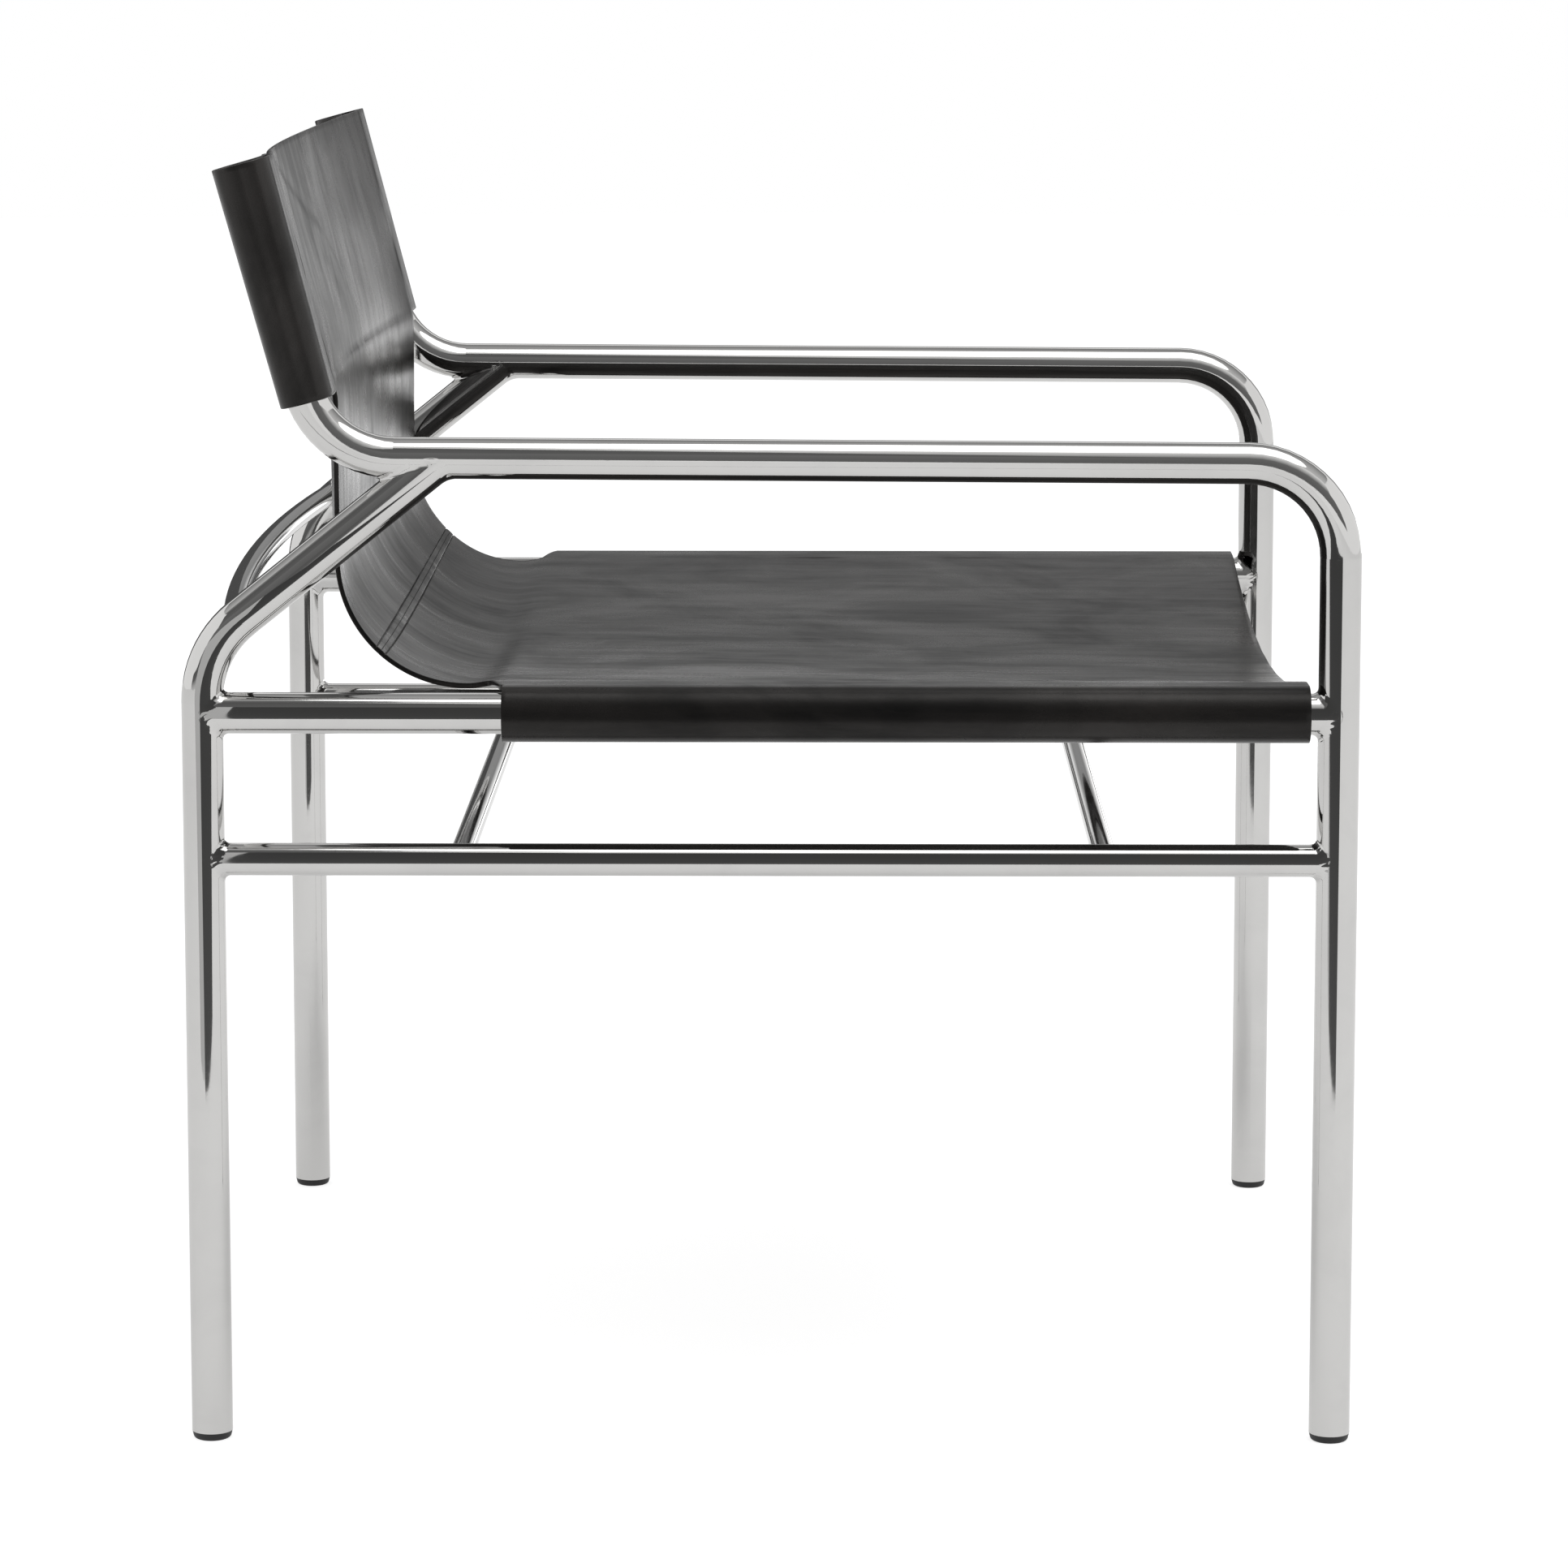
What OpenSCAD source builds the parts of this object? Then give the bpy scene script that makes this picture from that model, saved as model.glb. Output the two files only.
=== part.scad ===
// Tubular steel lounge armchair with a leather sling for its back and seat.
// The front faces -Y, X runs across the seat, Z is up and the floor is z = 0.
// The origin lies on the floor, midway between the four legs.

/* [Side frames] */
// Distance between the two side frames, tube axis to tube axis
frame_w = 668; // [600:1:740]
// Distance from the front leg axis to the rear leg axis
leg_span = 696; // [670:1:730]
// Outer diameter of the tube that makes legs, arms, posts and seat rails
tube_d = 25.4; // [22:0.2:28]
// Wall of that tube
tube_wall = 2; // [1.5:0.1:3]
// Height of the arm axis at its front corner
arm_h = 611; // [595:1:640]
// Rise of the arm axis from its front corner to its back corner
arm_rise = 3.5; // [0:0.5:10]
// Distance of the arm's back corner ahead of the rear leg axis
post_inset = 75.8; // [68:0.2:90]
// Lean of the back post from upright, in degrees
post_lean = 15; // [10:0.5:20]
// Length of the back post from the arm axis to its cut end
post_len = 176; // [165:1:178]
// Centreline radius of the bend at the front of the arm
front_bend_r = 57.5; // [45:0.5:80]
// Centreline radius of the bend from the arm into the back post
back_bend_r = 57; // [50:0.5:58]
// Centreline radius of the bend from the rear leg into its brace
brace_bend_r = 66.5; // [45:0.5:80]
// Slope of the brace above level, in degrees
brace_slope = 38.7; // [36:0.1:41]
// Distance that the brace reaches ahead of the rear leg axis
brace_reach = 147.6; // [140:0.2:160]
// Height of the seat rail axis
rail_h = 457; // [440:1:464]
// Height of the stretcher axis
stretcher_h = 366; // [300:1:390]
// Outer diameter of the stretchers
stretcher_d = 20; // [17:0.2:23]

/* [Cross tubes] */
// Outer diameter of the cross tubes
cross_d = 15; // [12:0.2:16]
// Wall of the stretchers and cross tubes
thin_wall = 1.5; // [1:0.1:2]
// Distance of the front cross tube ahead of the middle
front_cross = 206; // [120:1:280]
// Distance of the rear cross tube behind the middle
rear_cross = 191; // [120:1:280]
// Place of the bowed tube along the brace, from the rear leg corner
bow_along = 30; // [24:1:60]
// Distance of the bowed tube's end above the brace axis
bow_offset = 4; // [0:0.5:6]
// How far the bowed tube bends back at its middle
bow_depth = 16; // [8:1:30]

/* [Feet and caps] */
// Height of the glide that shows under each leg
glide_h = 5; // [3:0.5:10]
// Diameter of the glide where it meets the floor
glide_foot_d = 22; // [16:0.5:23]
// Length of the glide's stem inside the leg
glide_stem = 18; // [10:1:30]
// Thickness of the cap on each back post
cap_h = 2.5; // [1.5:0.1:4]
// Length of the cap's stem inside the post
cap_stem = 12; // [6:1:20]

/* [Leather sling] */
// Thickness of the leather
leather_t = 3.2; // [2.6:0.1:4]
// Distance from the arm axis up to the foot of the back sleeves, along the post
back_sleeve_foot = 35; // [34:1:45]
// Length of the back sleeves along the posts
back_sleeve_len = 150; // [148:1:180]
// Outer radius of the back sleeve at its foot
back_sleeve_r = 16.7; // [16.6:0.1:19]
// Outer radius of the back sleeve at its open top
back_sleeve_top_r = 18; // [17:0.1:21]
// Length of the seat sleeves along the rails
seat_sleeve_len = 495.5; // [420:0.5:500]
// Outer radius of the seat sleeve, from the rail axis to its top
seat_sleeve_r = 17.7; // [16.6:0.1:21]
// Distance from the side frame axis to the free edge of the sling
edge_inset = 28; // [22:1:60]
// Reach of the sleeve's flap inboard, under the sling, from the frame axis
flap_reach = 74; // [60:1:110]
// Radius of the bend between back and seat, on the sitter's side
sling_bend_r = 76.8; // [60:0.2:84]
// Radius of the slight bend where the back leaves its sleeves
ease_r = 32; // [20:1:45]
// Drop of the sling behind the seat sleeves, below their tops
seat_dip = 2.4; // [0.5:0.1:4]
// Place of the seam round that bend, in degrees from upright
seam_deg = 47; // [20:1:70]
// Sag of the back at its top edge
back_sag = 20; // [5:1:30]
// Sag of the sling at the seam
seam_sag = 18; // [5:1:30]
// Sag of the seat at its front edge
seat_sag = 31; // [10:1:45]

/* [Fits] */
// Clearance between a tube and the tube whose side it is cut to
weld_gap = 0.2; // [0.1:0.05:0.5]
// Clearance of a stem in its tube
stem_fit = 0.1; // [0.05:0.05:0.3]
// Clearance between the leather and what it lies on
leather_fit = 0.3; // [0.2:0.05:0.6]
// Distance between the front legs and the seat sleeves
sleeve_end_gap = 5.3; // [3:0.1:12]
// Least distance between the stretchers and the seat sleeves above them
stretcher_gap = 12; // [5:1:40]

/* [Hidden] */
$fn = 64;

chrome = "gainsboro";
leather = [0.12, 0.12, 0.12];
plastic = [0.2, 0.2, 0.2];

tube_r = tube_d / 2;
frame_x = frame_w / 2;
leg_y = leg_span / 2;
side_right = -1;
side_left = 1;

// The rails stay clear of the stretchers, however high those are set
rail_z = max(rail_h, stretcher_h + stretcher_d / 2 + stretcher_gap + seat_sleeve_r);

// Corners of the side frame as [y, z]
back_corner_y = leg_y - post_inset;
arm_slope = atan(arm_rise / (back_corner_y + leg_y));
function arm_z(y) = arm_h + (y + leg_y) * tan(arm_slope);
front_foot = [-leg_y, glide_h];
front_corner = [-leg_y, arm_h];
back_corner = [back_corner_y, arm_z(back_corner_y)];
post_dir = [sin(post_lean), cos(post_lean)];
post_end = back_corner + post_dir * post_len;
brace_top_y = leg_y - brace_reach;
brace_top = [brace_top_y, arm_z(brace_top_y)];
brace_corner = [leg_y, brace_top[1] - brace_reach * tan(brace_slope)];
brace_dir = [-cos(brace_slope), sin(brace_slope)];
brace_up = [sin(brace_slope), cos(brace_slope)];
rear_foot = [leg_y, glide_h];

// Ends of the bowed tube and the radius of its bow
bow_end = brace_corner + brace_dir * bow_along + brace_up * bow_offset;
bow_r = (frame_x * frame_x + bow_depth * bow_depth) / (2 * bow_depth);
bow_half_deg = asin(frame_x / bow_r);
bow_fn = 256;

// Length added to a cutting tube so that it runs past what it cuts
overrun = tube_d;

// A bend comes out of the bender a hair fatter than the straight tube, which
// runs on into it by a short lap
bend_swell = 0.05;
bend_lap = 0.5;

// Straight round bar between two points of the plane
module bar_run(from, to, d) {
    step = to - from;
    translate([from[0], from[1], 0])
        rotate([0, 0, atan2(step[1], step[0])])
            rotate([0, 90, 0])
                cylinder(h = norm(step), d = d);
}

function unit(v) = v / norm(v);
function turn_deg(a, b) = atan2(a[0] * b[1] - a[1] * b[0], a * b);
function bend_in(p, q, s, r) = q - unit(q - p) * r * tan(abs(turn_deg(q - p, s - q)) / 2);
function bend_out(p, q, s, r) = q + unit(s - q) * r * tan(abs(turn_deg(q - p, s - q)) / 2);

// Bend at q of a bar that runs from p to s
module bar_bend(p, q, s, r, d) {
    turn = turn_deg(q - p, s - q);
    side = sign(turn);
    entry = bend_in(p, q, s, r);
    along = unit(q - p);
    centre = entry + [-along[1], along[0]] * side * r;
    spoke = entry - centre;
    start = atan2(spoke[1], spoke[0]);
    translate([centre[0], centre[1], 0])
        rotate([0, 0, turn > 0 ? start : start + turn])
            rotate_extrude(angle = abs(turn))
                translate([r, 0]) rotate(-90) circle(d = d + 2 * bend_swell);
}

// Bar bent through a row of points, with one radius for each inner point
module bent_bar(points, radii, d) {
    last = len(points) - 1;
    for (i = [0 : last - 1]) {
        lap = unit(points[i + 1] - points[i]) * bend_lap;
        from = i == 0 ? points[0]
            : bend_out(points[i - 1], points[i], points[i + 1], radii[i - 1]) - lap;
        to = i == last - 1 ? points[last]
            : bend_in(points[i], points[i + 1], points[i + 2], radii[i]) + lap;
        bar_run(from, to, d);
    }
    for (i = [1 : last - 1])
        bar_bend(points[i - 1], points[i], points[i + 1], radii[i - 1], d);
}

// Turns the drawing plane into the plane of one side frame
module in_side_frame(side) {
    translate([side * frame_x, 0, 0]) rotate([90, 0, 90]) children();
}

// Outside of the tube that makes a front leg, arm and back post, or its bore
module arm_path(d, run_on = 0) {
    foot = front_foot - [0, run_on];
    bent_bar([foot, front_corner, back_corner, post_end + post_dir * run_on],
        [front_bend_r, back_bend_r], d);
}

// Outside of the tube that makes a rear leg and its brace, or its bore
module rear_leg_path(d, run_on = 0) {
    bent_bar([rear_foot - [0, run_on], brace_corner, brace_top + brace_dir * run_on],
        [brace_bend_r], d);
}

// Bar along the arm that cuts the brace to its saddle
module arm_cutter() {
    bar_run(front_corner, back_corner, tube_d + 2 * weld_gap);
}

// Upright bars, and the rear leg's bend, that cut the rails and stretchers to their saddles
module leg_cutters() {
    cutter_d = tube_d + 2 * weld_gap;
    for (y = [-leg_y, leg_y])
        bar_run([y, stretcher_h - overrun], [y, rail_z + overrun], cutter_d);
    bar_bend(rear_foot, brace_corner, brace_top, brace_bend_r, cutter_d);
}

module arm_tube(side) {
    color(chrome) in_side_frame(side) difference() {
        arm_path(tube_d);
        arm_path(tube_d - 2 * tube_wall, overrun);
    }
}

module rear_leg(side) {
    color(chrome) in_side_frame(side) difference() {
        rear_leg_path(tube_d);
        rear_leg_path(tube_d - 2 * tube_wall, overrun);
        arm_cutter();
    }
}

// Straight tube between the two legs of a side frame
module side_tube(side, z, d, wall) {
    color(chrome) in_side_frame(side) difference() {
        bar_run([-leg_y, z], [leg_y, z], d);
        bar_run([-leg_y - overrun, z], [leg_y + overrun, z], d - 2 * wall);
        leg_cutters();
    }
}

module seat_rail(side) {
    side_tube(side, rail_z, tube_d, tube_wall);
}

module stretcher(side) {
    side_tube(side, stretcher_h, stretcher_d, thin_wall);
}

// Straight tube between the two stretchers
module cross_tube(y) {
    color(chrome) difference() {
        translate([-frame_x, y, stretcher_h]) rotate([0, 90, 0])
            cylinder(h = frame_w, d = cross_d);
        translate([-frame_x - overrun, y, stretcher_h]) rotate([0, 90, 0])
            cylinder(h = frame_w + 2 * overrun, d = cross_d - 2 * thin_wall);
        for (side = [side_right, side_left])
            in_side_frame(side)
                bar_run([y - overrun, stretcher_h], [y + overrun, stretcher_h],
                    stretcher_d + 2 * weld_gap);
    }
}

// Bar bowed back between the side frames, run on past both ends where it is a cutter
module bow_bar(d, run_on = 0) {
    half = bow_half_deg + run_on / bow_r * 180 / PI;
    translate([0, bow_end[0] + bow_depth - bow_r, bow_end[1]])
        rotate([0, 0, 90 - half])
            rotate_extrude(angle = 2 * half, $fn = bow_fn) translate([bow_r, 0]) circle(d = d);
}

module bow_tube() {
    color(chrome) difference() {
        bow_bar(cross_d);
        bow_bar(cross_d - 2 * thin_wall, overrun);
        for (side = [side_right, side_left])
            in_side_frame(side) rear_leg_path(tube_d + 2 * weld_gap);
    }
}

// Plastic glide: a tapered foot with a rounded lower rim, and a stem in the leg
glide_round = min(glide_h, glide_foot_d / 2) / 2;
glide_round_steps = 4;
stem_r = tube_r - tube_wall - stem_fit;
module glide(side, y) {
    foot_r = glide_foot_d / 2;
    rim = [for (i = [0 : glide_round_steps])
        [foot_r - glide_round + glide_round * sin(90 * i / glide_round_steps),
            glide_round - glide_round * cos(90 * i / glide_round_steps)]];
    color(plastic) translate([side * frame_x, y, 0]) rotate_extrude()
        polygon(concat([[0, 0]], rim, [
            [tube_r - stem_fit, glide_h],
            [stem_r, glide_h],
            [stem_r, glide_h + glide_stem],
            [0, glide_h + glide_stem]
        ]));
}

// Cap that closes the top of a back post, under the sleeve's open end
module post_cap(side) {
    color(plastic) in_side_frame(side) translate([post_end[0], post_end[1], 0])
        rotate([0, 0, 90 - post_lean]) rotate([0, 90, 0]) rotate_extrude()
            polygon([
                [0, -cap_stem], [stem_r, -cap_stem], [stem_r, 0],
                [tube_r, 0], [tube_r, cap_h / 2], [tube_r - cap_h / 2, cap_h], [0, cap_h]
            ]);
}

// The sling is drawn as a grid: rows follow its length from the top of the back
// to the front of the seat, and columns follow its width from left to right.
// A row holds the [y, z] of its line on the sitter's side, the way it faces in
// degrees from the front up, the radius of its sleeves, its sag, and the way it
// sags in degrees from the back down.
sag_inset_share = 0.8;
sag_half_w = frame_x - edge_inset * sag_inset_share;
free_half_w = frame_x - edge_inset;
panel_steps = 12;
loop_steps = 8;
turn_steps = 4;
flap_steps = 2;
lap_share = 0.32;
pull_share = 0.9;
flat_share = 0.4;

function facing(deg) = [-cos(deg), sin(deg)];
function falling(deg) = [cos(deg), -sin(deg)];
function sag_at(x) = abs(x) >= sag_half_w ? 0 : 1 - pow(x / sag_half_w, 2);
function mix(a, b, t) = a + (b - a) * t;

// Left sleeve's centreline from the flap's end round the tube to the free edge,
// as [outboard of the frame axis, towards the sitter from the tube axis]
function flap_point(out, r, sag) = [
    out,
    r - leather_t - leather_fit - leather_t / 2 - sag * sag_at(frame_x + out)
];
function bezier(a, b, c, d, t) =
    a * pow(1 - t, 3) + b * 3 * t * pow(1 - t, 2) + c * 3 * t * t * (1 - t) + d * pow(t, 3);
function sleeve_path(r, sag) =
    let(
        mid_r = r - leather_t / 2,
        side_r = tube_r + leather_fit + leather_t / 2,
        lap = flap_reach * (1 - lap_share),
        lap_end = flap_point(-lap, r, sag),
        pull = mid_r * pull_share,
        low = [0, -mid_r]
    )
    concat(
        [for (i = [0 : flap_steps]) flap_point(mix(-flap_reach, -lap, i / flap_steps), r, sag)],
        [for (i = [1 : turn_steps - 1])
            bezier(lap_end, lap_end + [2 * pull, 0], low - [2 * pull, 0], low, i / turn_steps)],
        [for (i = [0 : loop_steps])
            [side_r * cos(180 * i / loop_steps - 90), mid_r * sin(180 * i / loop_steps - 90)]],
        [[-edge_inset * flat_share, mid_r]]
    );
sleeve_n = flap_steps + 1 + turn_steps - 1 + loop_steps + 1 + 1;
columns_n = 2 * sleeve_n + panel_steps + 1;

function path_normal(path, i) =
    let(
        a = path[max(i - 1, 0)],
        b = path[min(i + 1, len(path) - 1)],
        d = unit(b - a)
    )
    [d[1], -d[0]];

// Both faces of one row: a list of [sitter's side, other side] points
function sleeve_points(row, side) =
    let(path = sleeve_path(row[2], row[3]))
    [for (i = [0 : sleeve_n - 1])
        let(n = path_normal(path, i) * leather_t / 2)
        [for (s = [1, -1])
            let(
                p = path[i] + n * s,
                yz = row[0] + facing(row[1]) * (p[1] - row[2])
            )
            [side * (frame_x + p[0]), yz[0], yz[1]]]];
function panel_points(row) =
    [for (i = [0 : panel_steps])
        let(
            x = mix(free_half_w, -free_half_w, i / panel_steps),
            yz = row[0] + falling(row[4]) * row[3] * sag_at(x),
            under = yz - facing(row[1]) * leather_t
        )
        [[x, yz[0], yz[1]], [x, under[0], under[1]]]];
function reversed(list) = [for (i = [len(list) - 1 : -1 : 0]) list[i]];
function row_points(row) = concat(
    sleeve_points(row, side_left), panel_points(row), reversed(sleeve_points(row, side_right)));

// Solid sheet over the rows; the sleeves run over the intervals first to last
module sheet(rows, sleeve_first, sleeve_last) {
    grid = [for (row = rows) each [for (pair = row_points(row)) each pair]];
    rows_n = len(rows);
    function at(i, j, k) = (i * columns_n + j) * 2 + k;
    function held(i, j) =
        i >= 0 && i < rows_n - 1 && j >= 0 && j < columns_n - 1
        && ((i >= sleeve_first && i <= sleeve_last)
            || (j >= sleeve_n && j < sleeve_n + panel_steps));
    function quad(a, b, c, d) = [[a, b, c], [a, c, d]];
    function wall(p, q) =
        quad(at(p[0], p[1], 0), at(q[0], q[1], 0), at(q[0], q[1], 1), at(p[0], p[1], 1));
    faces = [for (i = [0 : rows_n - 2]) for (j = [0 : columns_n - 2]) if (held(i, j))
        each concat(
            quad(at(i, j, 0), at(i + 1, j, 0), at(i + 1, j + 1, 0), at(i, j + 1, 0)),
            quad(at(i, j, 1), at(i, j + 1, 1), at(i + 1, j + 1, 1), at(i + 1, j, 1)),
            held(i - 1, j) ? [] : wall([i, j], [i, j + 1]),
            held(i + 1, j) ? [] : wall([i + 1, j + 1], [i + 1, j]),
            held(i, j - 1) ? [] : wall([i + 1, j], [i, j]),
            held(i, j + 1) ? [] : wall([i, j + 1], [i + 1, j + 1])
        )];
    color(leather) polyhedron(grid, faces, convexity = 10);
}

// Back: straight down the posts, a small turn to upright, down to the bend
back_top = back_sleeve_foot + back_sleeve_len;
back_rows_n = 4;
ease_rows_n = 2;
drop_rows_n = 2;
bend_rows_n = 4;
function back_line(share) =
    let(r = mix(back_sleeve_top_r, back_sleeve_r, share))
    [back_corner + post_dir * mix(back_top, back_sleeve_foot, share) + facing(post_lean) * r,
        post_lean, r, mix(back_sag, seam_sag, share), post_lean];
sleeve_foot = back_line(1)[0];
ease_centre = sleeve_foot - facing(post_lean) * ease_r;
upright_y = ease_centre[0] - ease_r;
seat_z = rail_z + seat_sleeve_r - seat_dip;
bend_centre = [upright_y - sling_bend_r, seat_z + sling_bend_r];
function ease_row(share) =
    let(deg = post_lean * (1 - share))
    [ease_centre + facing(deg) * ease_r, deg, back_sleeve_r, seam_sag, deg];
function drop_row(share) =
    [[upright_y, mix(ease_centre[1], bend_centre[1], share)], 0, back_sleeve_r, seam_sag, 0];
function bend_row(deg, sag) =
    [bend_centre - facing(deg) * sling_bend_r, deg, seat_sleeve_r, sag, 90 * sin(deg)];
seam_half_deg = leather_fit / 2 / sling_bend_r * 180 / PI;
back_rows = concat(
    [for (i = [0 : back_rows_n]) back_line(i / back_rows_n)],
    [for (i = [1 : ease_rows_n]) ease_row(i / ease_rows_n)],
    [for (i = [1 : drop_rows_n]) drop_row(i / drop_rows_n)],
    [for (i = [1 : bend_rows_n])
        bend_row((seam_deg - seam_half_deg) * i / bend_rows_n, seam_sag)]
);

// Seat: the rest of the bend, a short rise onto the rails, along the rails
seat_front_y = -leg_y + tube_r + sleeve_end_gap;
seat_back_y = seat_front_y + seat_sleeve_len;
rise_rows_n = 2;
seat_rows_n = 4;
rear_sag_share = 1 / 3;
rear_sag = mix(seam_sag, seat_sag, rear_sag_share);
function bend_sag(deg) = mix(seam_sag, rear_sag, (deg - seam_deg) / (90 - seam_deg));
function rise_row(share) =
    [[mix(bend_centre[0], seat_back_y, share),
        mix(seat_z, rail_z + seat_sleeve_r, (1 - cos(180 * share)) / 2)],
        90, seat_sleeve_r, rear_sag, 90];
function seat_row(share) =
    [[mix(seat_back_y, seat_front_y, share), rail_z + seat_sleeve_r],
        90, seat_sleeve_r, mix(rear_sag, seat_sag, share), 90];
seat_rows = concat(
    [for (i = [0 : bend_rows_n])
        let(deg = mix(seam_deg + seam_half_deg, 90, i / bend_rows_n))
        bend_row(deg, bend_sag(deg))],
    [for (i = [1 : rise_rows_n]) rise_row(i / rise_rows_n)],
    [for (i = [1 : seat_rows_n]) seat_row(i / seat_rows_n)]
);

module back_leather() {
    sheet(back_rows, 0, back_rows_n - 1);
}

module seat_leather() {
    sheet(seat_rows, len(seat_rows) - 1 - seat_rows_n, len(seat_rows) - 2);
}

arm_tube(side_left);  // left_arm_tube
arm_tube(side_right);  // right_arm_tube
rear_leg(side_left);  // left_rear_leg
rear_leg(side_right);  // right_rear_leg
seat_rail(side_left);  // left_seat_rail
seat_rail(side_right);  // right_seat_rail
stretcher(side_left);  // left_stretcher
stretcher(side_right);  // right_stretcher
cross_tube(-front_cross);  // front_cross_tube
cross_tube(rear_cross);  // rear_cross_tube
bow_tube();  // back_bow_tube
glide(side_left, -leg_y);  // front_left_glide
glide(side_right, -leg_y);  // front_right_glide
glide(side_left, leg_y);  // rear_left_glide
glide(side_right, leg_y);  // rear_right_glide
post_cap(side_left);  // left_post_cap
post_cap(side_right);  // right_post_cap
back_leather();
seat_leather();
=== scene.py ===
import math
import random
import bmesh
import bpy
from mathutils import Matrix, Vector


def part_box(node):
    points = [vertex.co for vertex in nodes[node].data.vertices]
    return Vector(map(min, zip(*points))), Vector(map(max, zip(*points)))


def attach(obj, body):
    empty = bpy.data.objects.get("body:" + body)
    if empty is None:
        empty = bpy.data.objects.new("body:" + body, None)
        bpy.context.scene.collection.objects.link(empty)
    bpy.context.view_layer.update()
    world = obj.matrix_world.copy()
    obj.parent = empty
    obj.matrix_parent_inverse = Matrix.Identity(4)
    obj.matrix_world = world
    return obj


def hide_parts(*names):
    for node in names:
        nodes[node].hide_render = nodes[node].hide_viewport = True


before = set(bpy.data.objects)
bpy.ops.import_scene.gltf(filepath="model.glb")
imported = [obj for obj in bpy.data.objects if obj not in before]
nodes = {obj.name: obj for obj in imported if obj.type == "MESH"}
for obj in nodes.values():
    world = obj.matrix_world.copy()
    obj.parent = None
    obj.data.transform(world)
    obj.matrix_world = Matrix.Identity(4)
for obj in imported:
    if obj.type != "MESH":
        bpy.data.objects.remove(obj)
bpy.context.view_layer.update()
print("frame loaded:", len(nodes), "nodes")


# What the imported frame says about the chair's main sizes, in metres
railLow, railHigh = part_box("left_seat_rail")
crossLow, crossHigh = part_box("left_stretcher")
footLow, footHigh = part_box("rear_left_glide")
tubeR = (railHigh.z - railLow.z) / 2
frameX = (railHigh.x + railLow.x) / 2
railZ = (railHigh.z + railLow.z) / 2
legY = (footHigh.y + footLow.y) / 2
stretcherZ = (crossHigh.z + crossLow.z) / 2
stretcherR = (crossHigh.z - crossLow.z) / 2


tiny = 1e-9              # less than this is a rounding error
mergeGap = 0.000001      # points closer than this are one
nearLevel = 0.9          # least upward or downward share of a level face's normal
quiteLevel = 0.99


def mix(a, b, share):
    return a + (b - a) * share


def sinDeg(angle):
    return math.sin(math.radians(angle))


def cosDeg(angle):
    return math.cos(math.radians(angle))


# Camera at the photograph's angle: from the sitter's right, a little above the arms
cameraView = {
    "place": (-3.649, -0.0373, 0.9674),
    "pitch": 7.849,      # degrees below level
    "yaw": 0.497,        # degrees to the left
    "lens": 125.77,
    "sensor": 36,
    "shift": -0.1,
    "reach": 60,
}


def makeCamera():
    data = bpy.data.cameras.new("chairCamera")
    data.lens = cameraView["lens"]
    data.sensor_width = cameraView["sensor"]
    data.shift_y = cameraView["shift"]
    data.clip_end = cameraView["reach"]
    made = bpy.data.objects.new("chairCamera", data)
    bpy.context.scene.collection.objects.link(made)
    level = cosDeg(cameraView["pitch"])
    ahead = Vector((level * cosDeg(cameraView["yaw"]), level * sinDeg(cameraView["yaw"]),
                    -sinDeg(cameraView["pitch"])))
    made.location = cameraView["place"]
    made.rotation_mode = "QUATERNION"
    made.rotation_quaternion = ahead.to_track_quat("-Z", "Y")
    bpy.context.scene.camera = made
    print("camera placed")


# Shader sums are written as sums: a Wire is one output of a node
class Wire:
    def __init__(self, tree, socket):
        self.tree = tree
        self.socket = socket

    def sum(self, operation, a, b=0.0):
        return addNode(self.tree, "ShaderNodeMath", {0: a, 1: b}, operation=operation)

    def __add__(self, other):
        return self.sum("ADD", self, other)

    def __radd__(self, other):
        return self.sum("ADD", other, self)

    def __sub__(self, other):
        return self.sum("SUBTRACT", self, other)

    def __rsub__(self, other):
        return self.sum("SUBTRACT", other, self)

    def __mul__(self, other):
        return self.sum("MULTIPLY", self, other)

    def __rmul__(self, other):
        return self.sum("MULTIPLY", other, self)


def addNode(tree, kind, inputs=None, output=0, stops=None, **settings):
    made = tree.nodes.new(kind)
    for name, value in settings.items():
        setattr(made, name, value)
    if stops:
        ramp = made.color_ramp
        while len(ramp.elements) < len(stops):
            ramp.elements.new(1.0)
        for element, (place, shade) in zip(ramp.elements, stops):
            element.position = place
            element.color = (shade, shade, shade, 1)
    for name, value in (inputs or {}).items():
        if isinstance(value, Wire):
            tree.links.new(value.socket, made.inputs[name])
        else:
            made.inputs[name].default_value = value
    return Wire(tree, made.outputs[output]) if made.outputs else None


def newFinish(name):
    made = bpy.data.materials.new(name)
    made.use_nodes = True
    made.node_tree.nodes.clear()
    return made, made.node_tree


def closeFinish(tree, surface):
    addNode(tree, "ShaderNodeOutputMaterial", {"Surface": surface})


def mapped(tree, coordinate, scale):
    return addNode(tree, "ShaderNodeMapping", {"Vector": coordinate, "Scale": scale})


def noise(tree, vector, scale, detail=4.0, rough=0.5, warp=0.0):
    return addNode(tree, "ShaderNodeTexNoise", {
        "Vector": vector, "Scale": scale, "Detail": detail, "Roughness": rough, "Distortion": warp})


# 0 below the first of the two edges, 1 above the second
def mask(tree, value, edges):
    return addNode(tree, "ShaderNodeValToRGB", {"Fac": value}, stops=[(edges[0], 0.0), (edges[1], 1.0)])


def bumped(tree, facts, height):
    return addNode(tree, "ShaderNodeBump", {
        "Strength": facts["bump"], "Distance": facts["bumpDepth"], "Height": height})


def tint(tree, share, first, second):
    return addNode(tree, "ShaderNodeMix", {0: share, 6: (*first, 1), 7: (*second, 1)},
                   output=2, data_type="RGBA")


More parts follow.
